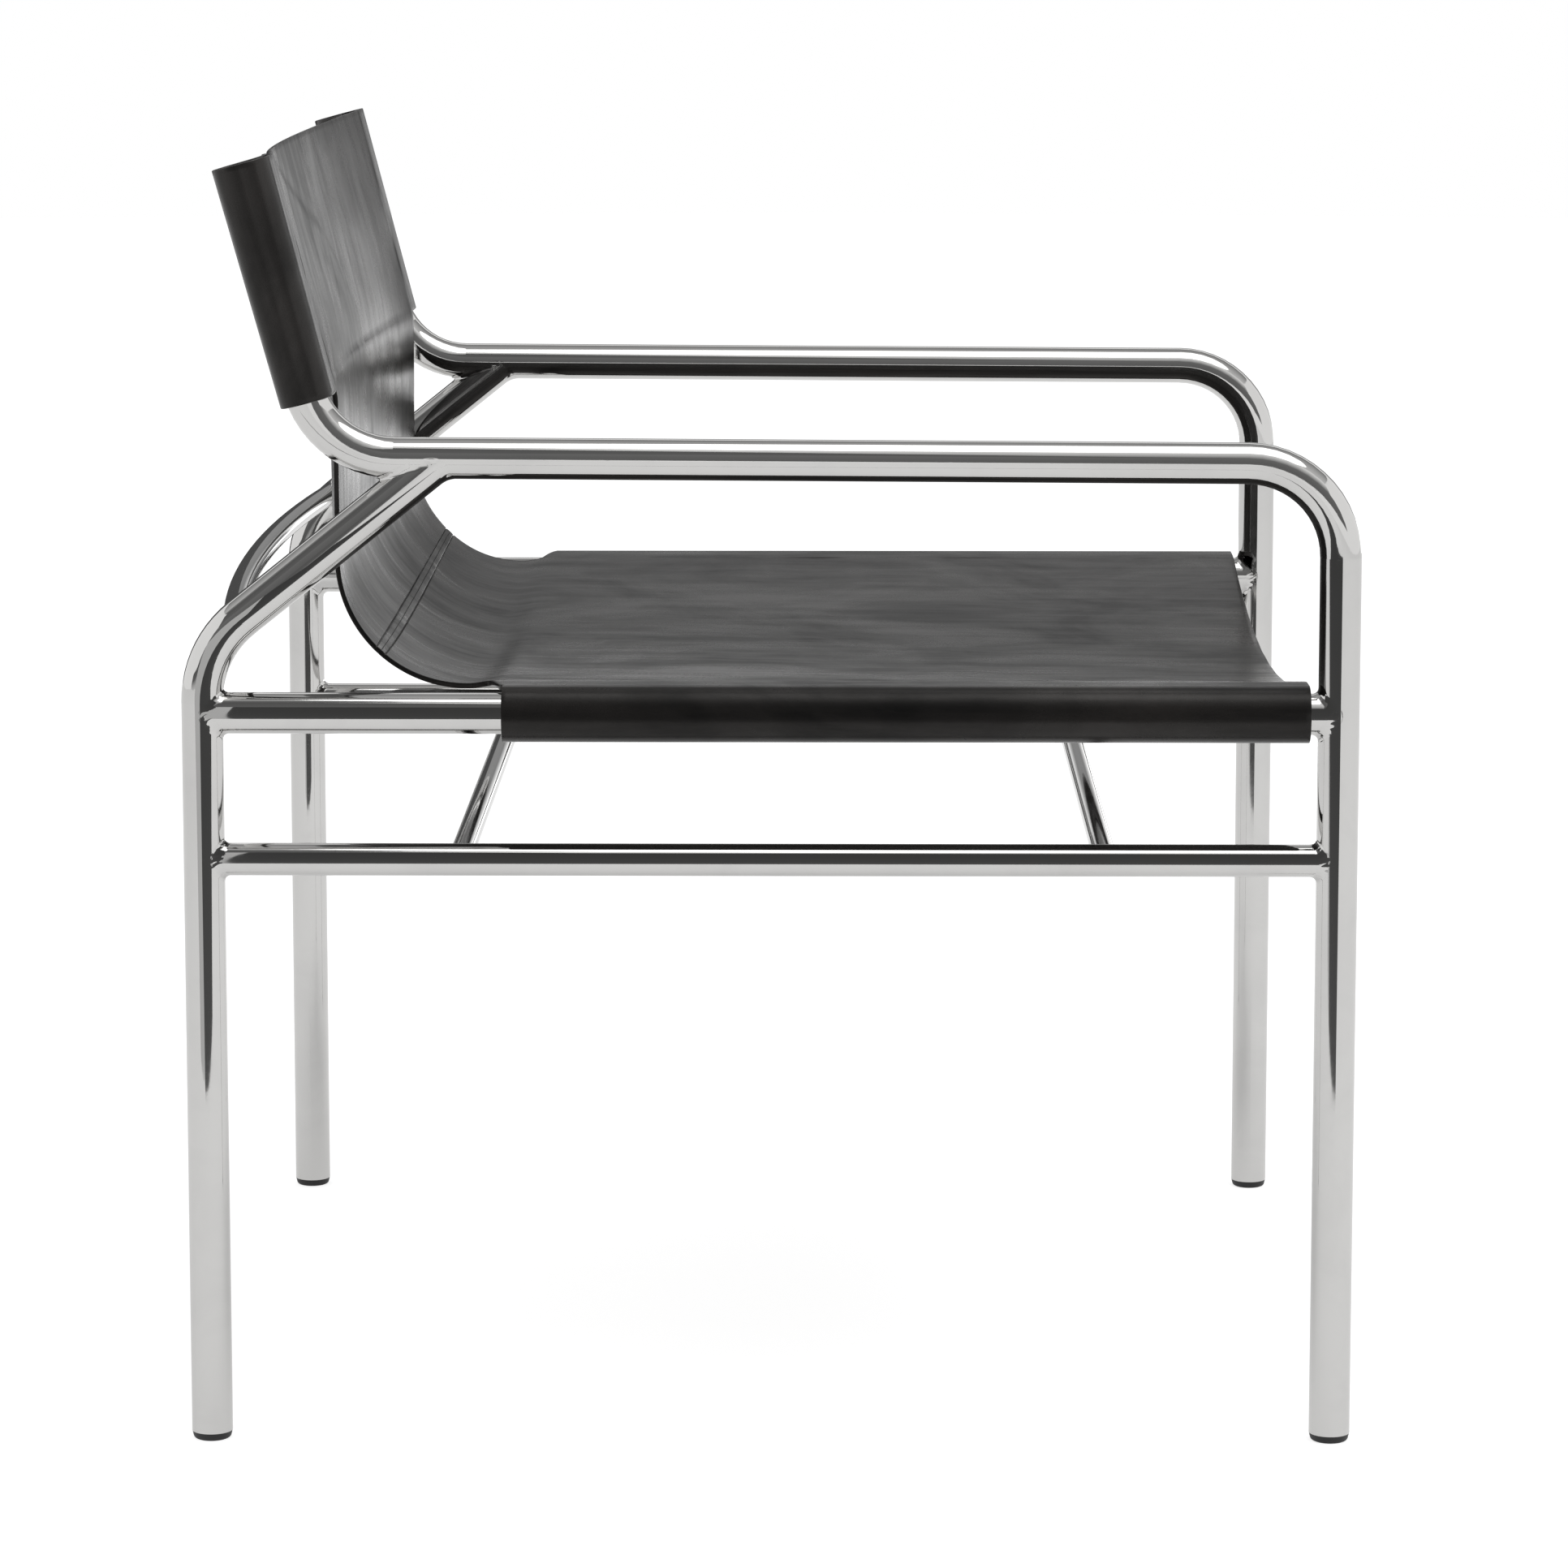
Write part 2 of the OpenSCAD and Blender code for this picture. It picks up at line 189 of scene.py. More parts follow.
# Chrome plate: near mirror, with hairlines, faint smears and a little orange peel
chrome = {
    "bright": (0.64, 0.635, 0.625),
    "dull": (0.55, 0.545, 0.54),
    "dullShare": 0.5,
    "gloss": 0.035,      # roughness where the plate is clean
    "smear": 0.07,       # roughness added by wiping marks
    "smearScale": 14.0,
    "smearEdges": (0.45, 0.8),
    "hairline": 0.05,    # roughness added by hairlines
    "hairScale": 3.0,
    "hairStretch": (60.0, 60.0, 900.0),
    "hairEdges": (0.68, 0.74),
    "hairHeight": 0.2,
    "peelScale": 90.0,
    "bump": 0.02,
    "bumpDepth": 0.0004,
}


def chromeFinish():
    made, tree = newFinish("chromePlate")
    place = addNode(tree, "ShaderNodeTexCoord", output="Object")
    wiped = noise(tree, place, chrome["smearScale"], detail=5.0, rough=0.6, warp=0.8)
    smear = mask(tree, wiped, chrome["smearEdges"])
    hair = noise(tree, mapped(tree, place, chrome["hairStretch"]), chrome["hairScale"], detail=3.0, rough=0.7)
    hairline = mask(tree, hair, chrome["hairEdges"])
    peel = noise(tree, place, chrome["peelScale"], detail=2.0, rough=0.4)
    surface = addNode(tree, "ShaderNodeBsdfPrincipled", {
        "Base Color": tint(tree, smear * chrome["dullShare"], chrome["bright"], chrome["dull"]),
        "Metallic": 1.0,
        "Roughness": smear * chrome["smear"] + hairline * chrome["hairline"] + chrome["gloss"],
        "Normal": bumped(tree, chrome, peel + hairline * chrome["hairHeight"]),
    })
    closeFinish(tree, surface)
    return made


# Black saddle leather: satin, fine grain, cloudy dye and soft draw lines along its length
leather = {
    "deep": (0.0072, 0.0071, 0.0071),
    "worn": (0.024, 0.0215, 0.0202),
    "cloudScale": (9.0, 6.0, 1.0),       # across and along the sling
    "drawnScale": (75.0, 7.0, 1.0),
    "drawnShare": 0.3,
    "mottleEdges": (0.4, 0.62),
    "satin": 0.2,        # least roughness
    "matt": 0.12,        # roughness added where the finish is dry
    "grainMatt": 0.06,
    "ior": 1.3,
    "haze": 0.42,        # most weight of the dry wax film, which shows at a low angle
    "hazeRoughness": 0.3,
    "hazeIor": 1.36,
    "sheenTint": (1.0, 0.965, 0.93, 1.0),
    "poreScale": 1100.0,
    "poreHeight": 0.3,
    "grainScale": 480.0,
    "grainHeight": 0.25,
    "wrinkleScale": (70.0, 28.0, 1.0),
    "wrinkleHeight": 1.2,
    "bump": 0.2,
    "bumpDepth": 0.00035,
}


def leatherFinish():
    made, tree = newFinish("blackLeather")
    sheet = addNode(tree, "ShaderNodeUVMap", uv_map="sheet")
    cloud = noise(tree, mapped(tree, sheet, leather["cloudScale"]), 1.0, detail=6.0, rough=0.62, warp=0.6)
    drawn = noise(tree, mapped(tree, sheet, leather["drawnScale"]), 1.0, detail=4.0, rough=0.6, warp=0.3)
    dye = cloud * (1 - leather["drawnShare"]) + drawn * leather["drawnShare"]
    mottled = mask(tree, dye, leather["mottleEdges"])
    pores = addNode(tree, "ShaderNodeTexVoronoi", {
        "Vector": sheet, "Scale": leather["poreScale"], "Randomness": 1.0}, feature="SMOOTH_F1")
    grain = noise(tree, sheet, leather["grainScale"], detail=3.0, rough=0.6)
    wrinkle = noise(tree, mapped(tree, sheet, leather["wrinkleScale"]), 1.0, detail=5.0, rough=0.55, warp=1.2)
    height = (pores * leather["poreHeight"] + grain * leather["grainHeight"]
              + wrinkle * leather["wrinkleHeight"])
    surface = addNode(tree, "ShaderNodeBsdfPrincipled", {
        "Base Color": tint(tree, mottled, leather["deep"], leather["worn"]),
        "Roughness": (1.0 - mottled) * leather["matt"] + grain * leather["grainMatt"] + leather["satin"],
        "IOR": leather["ior"],
        "Specular Tint": leather["sheenTint"],
        "Coat Weight": mottled * leather["haze"],
        "Coat Roughness": leather["hazeRoughness"],
        "Coat IOR": leather["hazeIor"],
        "Normal": bumped(tree, leather, height),
    })
    closeFinish(tree, surface)
    return made


# The leather's cut edge, burnished and dyed
cutEdge = {
    "dark": (0.005, 0.005, 0.005),
    "light": (0.0072, 0.0071, 0.0071),
    "fibreScale": 700.0,
    "gloss": 0.5,        # roughness where it is well burnished
    "matt": 0.2,         # roughness added by raised fibres
    "bump": 0.4,
    "bumpDepth": 0.0002,
}


def edgeFinish():
    made, tree = newFinish("burnishedEdge")
    place = addNode(tree, "ShaderNodeTexCoord", output="Object")
    fibre = noise(tree, place, cutEdge["fibreScale"], detail=4.0, rough=0.6)
    surface = addNode(tree, "ShaderNodeBsdfPrincipled", {
        "Base Color": tint(tree, fibre, cutEdge["dark"], cutEdge["light"]),
        "Roughness": fibre * cutEdge["matt"] + cutEdge["gloss"],
        "Normal": bumped(tree, cutEdge, fibre),
    })
    closeFinish(tree, surface)
    return made


# Waxed black thread, twisted; its colour holds painted shade, darker in the grooves of the twist and lighter
# on the plies
thread = {
    "dark": (0.012, 0.012, 0.012),
    "light": (0.03, 0.03, 0.03),
    "roughness": 0.55,
    "twistScale": 900.0,
    "twistWarp": 2.0,
    "bump": 0.5,
    "bumpDepth": 0.0001,
}


def threadFinish():
    made, tree = newFinish("waxedThread")
    place = addNode(tree, "ShaderNodeTexCoord", output="Object")
    twist = addNode(tree, "ShaderNodeTexWave", {
        "Vector": place, "Scale": thread["twistScale"], "Distortion": thread["twistWarp"]})
    surface = addNode(tree, "ShaderNodeBsdfPrincipled", {
        # painted shade: the twist's grooves, low in the bump, are drawn darker and the plies lighter
        "Base Color": tint(tree, twist, thread["dark"], thread["light"]),
        "Roughness": thread["roughness"],
        "Normal": bumped(tree, thread, twist),
    })
    closeFinish(tree, surface)
    return made


# Black moulded plastic, finely textured, with paler scuffs
plastic = {
    "clean": (0.016, 0.016, 0.017),
    "scuffed": (0.035, 0.034, 0.033),
    "scuffScale": 160.0,
    "scuffEdges": (0.5, 0.75),
    "roughness": 0.5,
    "scuffMatt": 0.15,
    "textureScale": 1500.0,
    "bump": 0.3,
    "bumpDepth": 0.0001,
}


def plasticFinish():
    made, tree = newFinish("blackPlastic")
    place = addNode(tree, "ShaderNodeTexCoord", output="Object")
    texture = noise(tree, place, plastic["textureScale"], detail=3.0, rough=0.5)
    rubbed = noise(tree, place, plastic["scuffScale"], detail=5.0, rough=0.6)
    scuff = mask(tree, rubbed, plastic["scuffEdges"])
    surface = addNode(tree, "ShaderNodeBsdfPrincipled", {
        "Base Color": tint(tree, scuff, plastic["clean"], plastic["scuffed"]),
        "Roughness": scuff * plastic["scuffMatt"] + plastic["roughness"],
        "Normal": bumped(tree, plastic, texture),
    })
    closeFinish(tree, surface)
    return made


def wear(piece, *finishes):
    piece.data.materials.clear()
    for finish in finishes:
        piece.data.materials.append(finish)


# The side frame's corners as (y, z), as the tubes were bent
sideFrame = {
    "armHeight": 0.611,      # of the arm's axis above the floor, at the front leg
    "armRise": 0.0035,       # by the back post
    "postInset": 0.0758,     # from the rear leg forward to the arm's rear corner
    "postLean": 15,          # degrees
    "postLength": 0.176,
    "braceSlope": 38.7,      # degrees
    "braceReach": 0.1476,    # from the rear leg forward to where the brace meets the arm
}


def armZ(y):
    backY = legY - sideFrame["postInset"]
    return sideFrame["armHeight"] + sideFrame["armRise"] * (y + legY) / (backY + legY)


backCorner = Vector((legY - sideFrame["postInset"], armZ(legY - sideFrame["postInset"])))
postDir = Vector((sinDeg(sideFrame["postLean"]), cosDeg(sideFrame["postLean"])))


# The sling: one length of thick leather from the top of the back to the front of the seat
sling = {
    "thickness": 0.0032,
    "fit": 0.0003,           # between leather and tube
    "sleeveFoot": 0.035,     # from the arm's axis up to the foot of the back sleeve
    "sleeveLength": 0.150,
    "sleeveR": 0.0167,
    "sleeveTopR": 0.018,
    "seatSleeveLength": 0.4955,
    "seatSleeveR": 0.0177,
    "frontGap": 0.0053,      # from the front leg to the seat sleeve
    "edgeInset": 0.028,      # from the tube's axis to the free panel's edge
    "flapReach": 0.074,      # how far the inner lap runs under the panel
    "bendR": 0.0768,         # of the turn from the back into the seat
    "easeR": 0.032,          # of the turn below the back sleeves
    "softReach": 0.034,      # how far the free panel rounds off the turn below the sleeves
    "softPower": 8,          # higher keeps it round nearer to the sleeves
    "dip": 0.0024,           # of the panel behind the seat sleeves
    "seamDeg": 47,           # how far round the turn into the seat the seam lies
    "backSag": 0.020,
    "seamSag": 0.018,
    "seatSag": 0.031,
    "sagInsetShare": 0.8,    # where the sag starts, between the tube's axis and the free edge
    "sagEaseShare": 0.05,    # how softly the sag starts at the sleeves
    "lapShare": 0.32,        # share of the inner lap that lies flat on the panel
    "pullShare": 0.9,        # how far the lap's turn under the tube is drawn out
    "rearSagShare": 1 / 3,   # of the panel behind the seat, between the seam's sag and the seat's
    "step": 0.0037,          # spacing of the rows and of the panel's columns
    "leastStep": 0.0008,
    "flapSteps": 8,          # columns in each stretch of a sleeve
    "turnSteps": 14,
    "loopSteps": 36,
    "flatSteps": 8,
    "flareReach": 0.011,     # length of the soft corner at the rear of the seat sleeves
    "flareEarly": 0.0095,    # how far behind their start it begins
    "flareFade": 0.05,       # how far in front of that the rows are straight again
}


def facing(angle):
    return Vector((-cosDeg(angle), sinDeg(angle)))


def falling(angle):
    return Vector((cosDeg(angle), -sinDeg(angle)))


backTop = sling["sleeveFoot"] + sling["sleeveLength"]
sleeveFoot = backCorner + postDir * sling["sleeveFoot"] + facing(sideFrame["postLean"]) * sling["sleeveR"]
easeCentre = sleeveFoot - facing(sideFrame["postLean"]) * sling["easeR"]
uprightY = easeCentre.x - sling["easeR"]
seatZ = railZ + sling["seatSleeveR"] - sling["dip"]
bendCentre = Vector((uprightY - sling["bendR"], seatZ + sling["bendR"]))
seatFrontY = -legY + tubeR + sling["frontGap"]
seatBackY = seatFrontY + sling["seatSleeveLength"]
rearSag = mix(sling["seamSag"], sling["seatSag"], sling["rearSagShare"])
freeHalf = frameX - sling["edgeInset"]
sagHalf = frameX - sling["edgeInset"] * sling["sagInsetShare"]

# Lengths of the sling's stretches, from the top of the back
easeStart = sling["sleeveLength"]
dropStart = easeStart + sling["easeR"] * math.radians(sideFrame["postLean"])
bendStart = dropStart + easeCentre.y - bendCentre.y
seamPlace = bendStart + sling["bendR"] * math.radians(sling["seamDeg"])
riseStart = bendStart + sling["bendR"] * math.radians(90)
seatStart = riseStart + bendCentre.x - seatBackY
slingEnd = seatStart + sling["seatSleeveLength"]
flareStart = seatStart - sling["flareEarly"]
sleeveColumns = sling["flapSteps"] + sling["turnSteps"] + sling["loopSteps"] + 1 + sling["flatSteps"]


# Share of the full sag at x: a parabola that fades out softly at the sleeves
def sagAt(x):
    bowl = 1 - (x / sagHalf) ** 2
    return (bowl + math.sqrt(bowl * bowl + sling["sagEaseShare"] ** 2)) / 2


# One line across the sling: (y, z) at the sleeves, the way it faces, its sleeve, its sag and the sag's angle
def slingLine(along):
    tilt = sideFrame["postLean"]
    if along <= easeStart:
        share = along / easeStart
        sleeveR = mix(sling["sleeveTopR"], sling["sleeveR"], share)
        point = backCorner + postDir * (backTop - along) + facing(tilt) * sleeveR
        return point, tilt, sleeveR, mix(sling["backSag"], sling["seamSag"], share), tilt
    if along <= dropStart:
        angle = tilt * (dropStart - along) / (dropStart - easeStart)
        return easeCentre + facing(angle) * sling["easeR"], angle, sling["sleeveR"], sling["seamSag"], angle
    if along <= bendStart:
        point = Vector((uprightY, easeCentre.y - (along - dropStart)))
        return point, 0, sling["sleeveR"], sling["seamSag"], 0
    if along <= riseStart:
        angle = math.degrees((along - bendStart) / sling["bendR"])
        past = max(0, (angle - sling["seamDeg"]) / (90 - sling["seamDeg"]))
        return (bendCentre - facing(angle) * sling["bendR"], angle, sling["seatSleeveR"],
                mix(sling["seamSag"], rearSag, past), 90 * sinDeg(angle))
    if along <= seatStart:
        share = (along - riseStart) / (seatStart - riseStart)
        point = Vector((mix(bendCentre.x, seatBackY, share),
                        seatZ + sling["dip"] * (1 - cosDeg(180 * share)) / 2))
        return point, 90, sling["seatSleeveR"], rearSag, 90
    share = (along - seatStart) / (slingEnd - seatStart)
    point = Vector((mix(seatBackY, seatFrontY, share), railZ + sling["seatSleeveR"]))
    return point, 90, sling["seatSleeveR"], mix(rearSag, sling["seatSag"], share), 90


def bezier(a, b, c, d, t):
    return a * (1 - t) ** 3 + b * 3 * t * (1 - t) ** 2 + c * 3 * t * t * (1 - t) + d * t ** 3


# Place of a column between the tube's top and the free edge; close together at both ends
def flatShare(i):
    return (1 - cosDeg(180 * i / (sling["flatSteps"] + 1))) / 2


# How far a sleeve's column slides forward, which cuts the rear corner of the seat sleeve as a soft S
def columnShift(along, column):
    if along < flareStart - tiny:
        return 0.0
    share = min(1, max(0, (sleeveColumns - column) / (sling["flatSteps"] + 1)))
    return sling["flareReach"] * share * max(0, 1 - (along - flareStart) / sling["flareFade"])


# A sleeve's middle line from the flap's end round the tube, as (outboard, towards the sitter)
def sleevePath(sleeveR, sag):
    half = sling["thickness"] / 2
    middleR = sleeveR - half
    sideR = tubeR + sling["fit"] + half
    lap = sling["flapReach"] * (1 - sling["lapShare"])
    pull = middleR * sling["pullShare"]

    def flapPoint(out):
        return Vector((out, sleeveR - sling["thickness"] - sling["fit"] - half - sag * sagAt(frameX + out)))

    low = Vector((0, -middleR))
    reach = Vector((2 * pull, 0))
    lapEnd = flapPoint(-lap)
    path = [flapPoint(mix(-sling["flapReach"], -lap, i / sling["flapSteps"]))
            for i in range(sling["flapSteps"] + 1)]
    path += [bezier(lapEnd, lapEnd + reach, low - reach, low, i / sling["turnSteps"])
             for i in range(1, sling["turnSteps"])]
    path += [Vector((sideR * cosDeg(180 * i / sling["loopSteps"] - 90),
                     middleR * sinDeg(180 * i / sling["loopSteps"] - 90)))
             for i in range(sling["loopSteps"] + 1)]
    for i in range(1, sling["flatSteps"] + 1):
        out = sling["edgeInset"] * flatShare(i)
        path.append(Vector((-out, middleR - sag * sagAt(frameX - out))))
    return path


def pathNormal(path, i):
    step = path[min(i + 1, len(path) - 1)] - path[max(i - 1, 0)]
    return Vector((step.y, -step.x)).normalized()


# The rebate that the seam's strip lies in, on the sitter's side
seam = {
    "stripHalf": 0.0035,
    "rebate": 0.0009,
    "wallOut": 0.0005,       # width of the rebate's wall
    "rows": (0.0025, 0.0034, 0.0038, 0.0041, 0.0045),    # rows on each side that keep the wall crisp
}


def rebateAt(along):
    out = abs(along - seamPlace) - seam["stripHalf"]
    share = min(1, max(0, 1 - out / seam["wallOut"]))
    return -seam["rebate"] * share


# Soft creases that the pull of the sleeves leaves, as (x, distance along the sling)
creases = [
    {"line": [(-0.214, 0.0), (-0.086, 0.028), (0.028, 0.058), (0.09, 0.096), (0.116, 0.13), (0.117, 0.164)],
     "width": 0.006, "depth": 0.0006},
    {"line": [(0.194, 0.324), (0.186, 0.338), (0.172, 0.356), (0.152, 0.38)],
     "width": 0.0045, "depth": 0.0006},
    {"line": [(0.056, 0.323), (0.054, 0.333), (0.052, 0.345)], "width": 0.004, "depth": 0.0004},
    {"line": [(-0.04, 0.324), (-0.046, 0.338), (-0.06, 0.358)], "width": 0.005, "depth": 0.0003},
]

# A crease is a valley with a low ridge on one side, both measured in crease widths
creaseShape = {"reach": 4, "ridge": 0.6, "ridgeOut": 1.5, "startShare": 0.15}

# Low waves all over, as hand-cut leather has
waves = {"count": 14, "lift": 0.00028, "shortest": 0.05, "longest": 0.16, "seed": 7}


def makeWaves():
    draw = random.Random(waves["seed"])
    made = []
    for i in range(waves["count"]):
        length = draw.uniform(waves["shortest"], waves["longest"])
        heading = draw.uniform(0, math.pi)
        rate = 2 * math.pi / length
        made.append((math.cos(heading) * rate, math.sin(heading) * rate, draw.uniform(0, 2 * math.pi)))
    return made


waveTable = makeWaves()


def creaseLift(crease, x, along):
    best, side, where = 1.0, 1.0, 0.0
    line = crease["line"]
    for i, (a, b) in enumerate(zip(line, line[1:])):
        stepX, stepS = b[0] - a[0], b[1] - a[1]
        share = ((x - a[0]) * stepX + (along - a[1]) * stepS) / (stepX ** 2 + stepS ** 2)
        held = min(1, max(0, share))
        outX, outS = x - a[0] - stepX * held, along - a[1] - stepS * held
        out = math.hypot(outX, outS)
        if out < best:
            best, side = out, math.copysign(1, stepX * outS - stepS * outX)
            where = (i + held) / (len(line) - 1)
    reach = best / crease["width"]
    if reach > creaseShape["reach"]:
        return 0.0
    fade = 1.0
    if where > 0.5:
        fade = math.sqrt(math.sin(math.pi * min(1, mix(creaseShape["startShare"], 1, where))))
    valley = -math.exp(-reach * reach)
    ridge = creaseShape["ridge"] * math.exp(-(side * reach - creaseShape["ridgeOut"]) ** 2)
    return crease["depth"] * fade * (valley + ridge)


def slingLift(x, along):
    lift = rebateAt(along)
    for acrossRate, alongRate, start in waveTable:
        wave = math.sin(acrossRate * x + alongRate * along + start)
        lift += waves["lift"] * wave / math.sqrt(waves["count"])
    for crease in creases:
        lift += creaseLift(crease, x, along)
    return lift


# The free panel rounds off the turn that the sleeves make at their foot
def turnEase(along):
    out = along - easeStart
    slope = math.tan(math.radians(sideFrame["postLean"]))
    return slope / 2 * (math.hypot(out, sling["softReach"]) - abs(out))


# A point of the free panel before its lift, as (y, z)
def panelAt(x, along):
    line, _, _, sag, fall = slingLine(along)
    ease = turnEase(along) * (1 - (x / freeHalf) ** sling["softPower"])
    return line + falling(fall) * sag * sagAt(x) + Vector((ease, 0))


# Both faces of one row, as 3-D points from the left flap to the right one
def slingRow(along):
    half = sling["thickness"] / 2
    left, right, sections = [], [], {}
    for i in range(sleeveColumns):
        at = along + columnShift(along, i)
        if at not in sections:
            line, angle, sleeveR, sag = slingLine(at)[:4]
            sections[at] = line, facing(angle), sleeveR, sleevePath(sleeveR, sag)
        line, front, sleeveR, path = sections[at]
        normal = pathNormal(path, i) * half
        pair = []
        for side in (1, -1):
            point = path[i] + normal * side
            yz = line + front * (point.y - sleeveR)
            pair.append((frameX + point.x, yz.x, yz.y))
        left.append(pair)
        right.append([(-x, y, z) for x, y, z in pair])
    steps = 2 * round(freeHalf / sling["step"])
    front = facing(slingLine(along)[1])
    panel = []
    for i in range(steps + 1):
        x = mix(freeHalf, -freeHalf, i / steps)
        yz = panelAt(x, along)
        top = yz + front * slingLift(x, along)
        under = yz - front * sling["thickness"]
        panel.append([(x, top.x, top.y), (x, under.x, under.y)])
    return left + panel + right[::-1]


def rowPlaces(start, end, fine):
    count = max(1, round((end - start) / sling["step"]))
    places = [mix(start, end, i / count) for i in range(count + 1)]
    extra = [p for p in fine if start < p < end]
    kept = [p for p in places if all(abs(p - e) > sling["leastStep"] for e in extra)]
    return sorted(set([places[0], places[-1]] + kept + extra))


# The leather's cut edges are eased by a small bevel; angles in degrees
easedEdge = {"width": 0.0006, "segments": 2, "sharp": 50, "smooth": 40}


# A closed solid over the rows; only the cells that held() allows are leather
def makeSheet(name, places, sleeved, finishes):
    rows = [slingRow(p) for p in places]
    columns = len(rows[0])
    path = [Vector(pair[0]) for pair in rows[0]]

    def held(i, j):
        if not (0 <= i < len(rows) - 1 and 0 <= j < columns - 1):
            return False
        inPanel = sleeveColumns <= j < columns - 1 - sleeveColumns
        return inPanel or sleeved(places[i], places[i + 1])

    points, index = [], {}

    def at(i, j, k):
        key = (i, j, k)
        if key not in index:
            index[key] = len(points)
            points.append(rows[i][j][k])
        return index[key]

    faces, edges, flat = [], [], []
    across = [0.0]
    for a, b in zip(path, path[1:]):
        across.append(across[-1] + (b - a).length)
    middle = across[-1] / 2

    def uvOf(i, j):
        return across[j] - middle, places[i] + columnShift(places[i], min(j, columns - 1 - j))

    def quad(corners, sides, isEdge):
        faces.append([at(i, j, k) for (i, j), k in zip(corners, sides)])
        edges.append(isEdge)
        flat.append([uvOf(i, j) for i, j in corners])

    for i in range(len(rows) - 1):
        for j in range(columns - 1):
            if not held(i, j):
                continue
            quad([(i, j), (i, j + 1), (i + 1, j + 1), (i + 1, j)], (0, 0, 0, 0), False)
            quad([(i, j), (i + 1, j), (i + 1, j + 1), (i, j + 1)], (1, 1, 1, 1), False)
            for joined, p, q in ((held(i - 1, j), (i, j), (i, j + 1)),
                                 (held(i + 1, j), (i + 1, j + 1), (i + 1, j)),
                                 (held(i, j - 1), (i + 1, j), (i, j)),
                                 (held(i, j + 1), (i, j + 1), (i + 1, j + 1))):
                if not joined:
                    quad([p, p, q, q], (0, 1, 1, 0), True)
    mesh = bpy.data.meshes.new(name)
    mesh.from_pydata(points, [], faces)
    layer = mesh.uv_layers.new(name="sheet")
    for polygon, isEdge, corners in zip(mesh.polygons, edges, flat):
        polygon.material_index = 1 if isEdge else 0
        for loop, uv in zip(polygon.loop_indices, corners):
            layer.data[loop].uv = uv
    made = bpy.data.objects.new(name, mesh)
    bpy.context.scene.collection.objects.link(made)
    wear(made, *finishes)
    selectOnly(made)
    bevel = made.modifiers.new("edge", "BEVEL")
    bevel.width = easedEdge["width"]
    bevel.segments = easedEdge["segments"]
    bevel.limit_method = "ANGLE"
    bevel.angle_limit = math.radians(easedEdge["sharp"])
    bpy.ops.object.modifier_apply(modifier=bevel.name)
    bpy.ops.object.shade_smooth_by_angle(angle=math.radians(easedEdge["smooth"]))
    return made


def selectOnly(piece):
    if bpy.context.object and bpy.context.object.mode != "OBJECT":
        bpy.ops.object.mode_set(mode="OBJECT")
    bpy.ops.object.select_all(action="DESELECT")
    piece.select_set(True)
    bpy.context.view_layer.objects.active = piece


def flatLength(path):
    return sum((b - a).length for a, b in zip(path, path[1:]))


def makeSling(finishes, seamPieces):
    gap = sling["fit"] / 2      # half the joint between the two leathers, under the strip
    fine = [seamPlace + side * out for side in (1, -1) for out in seam["rows"]]
    backPlaces = rowPlaces(0, easeStart, fine)[:-1] + rowPlaces(easeStart, seamPlace - gap, fine)
    seatPlaces = rowPlaces(seamPlace + gap, flareStart, fine)[:-1] + rowPlaces(flareStart, slingEnd, fine)
    back = makeSheet("backLeather", backPlaces, lambda a, b: b <= easeStart + tiny, finishes)
    seat = makeSheet("seatLeather", seatPlaces, lambda a, b: a >= flareStart - tiny, finishes)
    lastStep = sling["edgeInset"] * (1 - flatShare(sling["flatSteps"]))
    wrap = flatLength(sleevePath(sling["sleeveR"], sling["seamSag"])) + lastStep
    seatWrap = flatLength(sleevePath(sling["seatSleeveR"], rearSag)) + lastStep
    seatSleeve = slingEnd - flareStart - sling["flareReach"]
    for piece, node, length, sleeve, side, rests in (
            (back, "back_leather", seamPlace, sling["sleeveLength"], wrap,
             ["left_arm_tube", "right_arm_tube"]),
            (seat, "seat_leather", slingEnd - seamPlace, seatSleeve, seatWrap,
             ["left_seat_rail", "right_seat_rail"])):
        width = 2 * (freeHalf + side)
        area = 2 * freeHalf * length + 2 * side * sleeve
        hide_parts(node)
        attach(piece, "root")
        seamPieces if piece == back else []
        print(piece.name, "flat", round(width, 4), "x", round(length, 4), "area", round(area, 4),
              "faces", len(piece.data.polygons))


# Studio: a pale floor, a white surround and a soft lamp overhead; the boards show only in gloss
studio = {
    "floorR": 12.0,
    "floorSides": 96,
    "floorShade": 0.5,
    "floorGlow": 0.8,        # as the camera sees it
    "floorGloss": 0.52,      # as polished metal sees it
    "ambient": 0.6,          # sky light on the chair; the camera and gloss see a white sky
    "lamp": {"centre": (-0.95, -1.5, 4.74), "width": 4.4, "power": 78},
}

